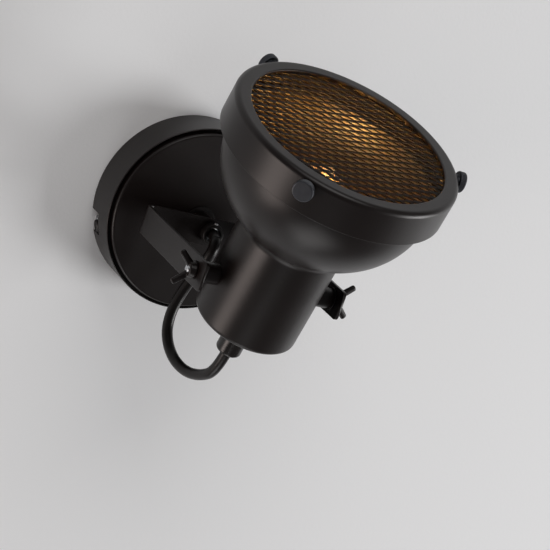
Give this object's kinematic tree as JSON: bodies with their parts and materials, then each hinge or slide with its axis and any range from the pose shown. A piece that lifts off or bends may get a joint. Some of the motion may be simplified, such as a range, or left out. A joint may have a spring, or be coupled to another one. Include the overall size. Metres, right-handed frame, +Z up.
{
  "type": "pivoting spotlight wall light",
  "caption": "Black wall spotlight: round canopy, U bracket on a swivel stem, tilting bowl shade with grille, wing nuts and a short cord loop.",
  "frame": {"origin": "centre of the canopy's back face on the wall", "axes": "+Y into the wall, -Y out into the room, +Z up"},
  "size_m": [0.17, 0.2373, 0.2064],
  "materials": {
    "black_paint": "satin powder coat",
    "zinc_steel": "bright zinc plated",
    "white_nylon": "moulded",
    "black_nylon": "moulded",
    "cord_sheath": "satin PVC sheath",
    "black_mesh": "matt paint on expanded steel",
    "black_rubber": "matt",
    "holder_plastic": "moulded",
    "brass": "bare",
    "cap_nickel": "nickel plated",
    "lamp_glass": "clear, warm tint",
    "filament": "phosphor coated"
  },
  "bodies": {
    "base": {"canopy_cup": "black_paint", "wall_bracket": "zinc_steel", "side_screws": "black_paint", "terminal_block": "white_nylon", "earth_screw": "zinc_steel", "friction_washer": "black_nylon"},
    "bracket": {"swivel_stem": "zinc_steel", "stem_tube": "black_paint", "spring_washer": "zinc_steel", "stem_lock_nut": "zinc_steel", "u_bracket": "black_paint", "base_gland": "black_nylon", "grip_screw": "zinc_steel", "cord": "cord_sheath"},
    "head": {"shade": "black_paint", "bezel_ring": "black_paint", "mesh_grille": "black_mesh", "seat_ring": "black_rubber", "rim_nuts": "zinc_steel", "pivot_screw_right": "zinc_steel", "pivot_spacer_right": "black_paint", "pivot_washer_right": "black_nylon", "pivot_screw_left": "zinc_steel", "pivot_spacer_left": "black_paint", "pivot_washer_left": "black_nylon", "neck_gland": "black_nylon", "inner_stem": "zinc_steel", "inner_lock_nut": "zinc_steel", "lamp_holder": "holder_plastic", "holder_screw_shell": "brass", "holder_contact": "brass", "lamp_cap": "cap_nickel", "lamp_glass": "lamp_glass", "lamp_filament": "filament"},
    "wing_nut_left": {"wing_nut_left": "black_paint"},
    "wing_nut_right": {"wing_nut_right": "black_paint"},
    "thumb_screw_left": {"thumb_screw_left": "black_paint"},
    "thumb_screw_right": {"thumb_screw_right": "black_paint"},
    "thumb_screw_rear": {"thumb_screw_rear": "black_paint"}
  },
  "joints": [
    {"name": "bracket_swivel", "type": "hinge", "parent": "base", "child": "bracket", "pos_m": [0, -0.035, 0], "axis": [0, -1, 0], "range_deg": [-144, 186]},
    {"name": "head_tilt", "type": "hinge", "parent": "bracket", "child": "head", "pos_m": [0, -0.1367, 0], "axis": [0.9336, 0, -0.3584], "range_deg": [-37.5, 102.5], "deforming": ["cord"]},
    {"name": "wing_nut_left_turn", "type": "hinge", "parent": "bracket", "child": "wing_nut_left", "pos_m": [-0.04668, -0.1367, 0.01792], "axis": [-0.9336, 0, 0.3584], "range_deg": [0, 540]},
    {"name": "wing_nut_right_turn", "type": "hinge", "parent": "bracket", "child": "wing_nut_right", "pos_m": [0.04668, -0.1367, -0.01792], "axis": [0.9336, 0, -0.3584], "range_deg": [0, 540]},
    {"name": "thumb_screw_left_turn", "type": "hinge", "parent": "head", "child": "thumb_screw_left", "pos_m": [-0.01338, -0.22482, 0.09398], "axis": [-0.6597, -0.7515, -0.0006], "range_deg": [0, 720]},
    {"name": "thumb_screw_right_turn", "type": "hinge", "parent": "head", "child": "thumb_screw_right", "pos_m": [0.1043, -0.17841, 0.06448], "axis": [0.9095, -0.1327, -0.394], "range_deg": [0, 720]},
    {"name": "thumb_screw_rear_turn", "type": "hinge", "parent": "head", "child": "thumb_screw_rear", "pos_m": [0.01736, -0.10213, 0.12361], "axis": [-0.2498, 0.8843, 0.3945], "range_deg": [0, 720]}
  ]
}
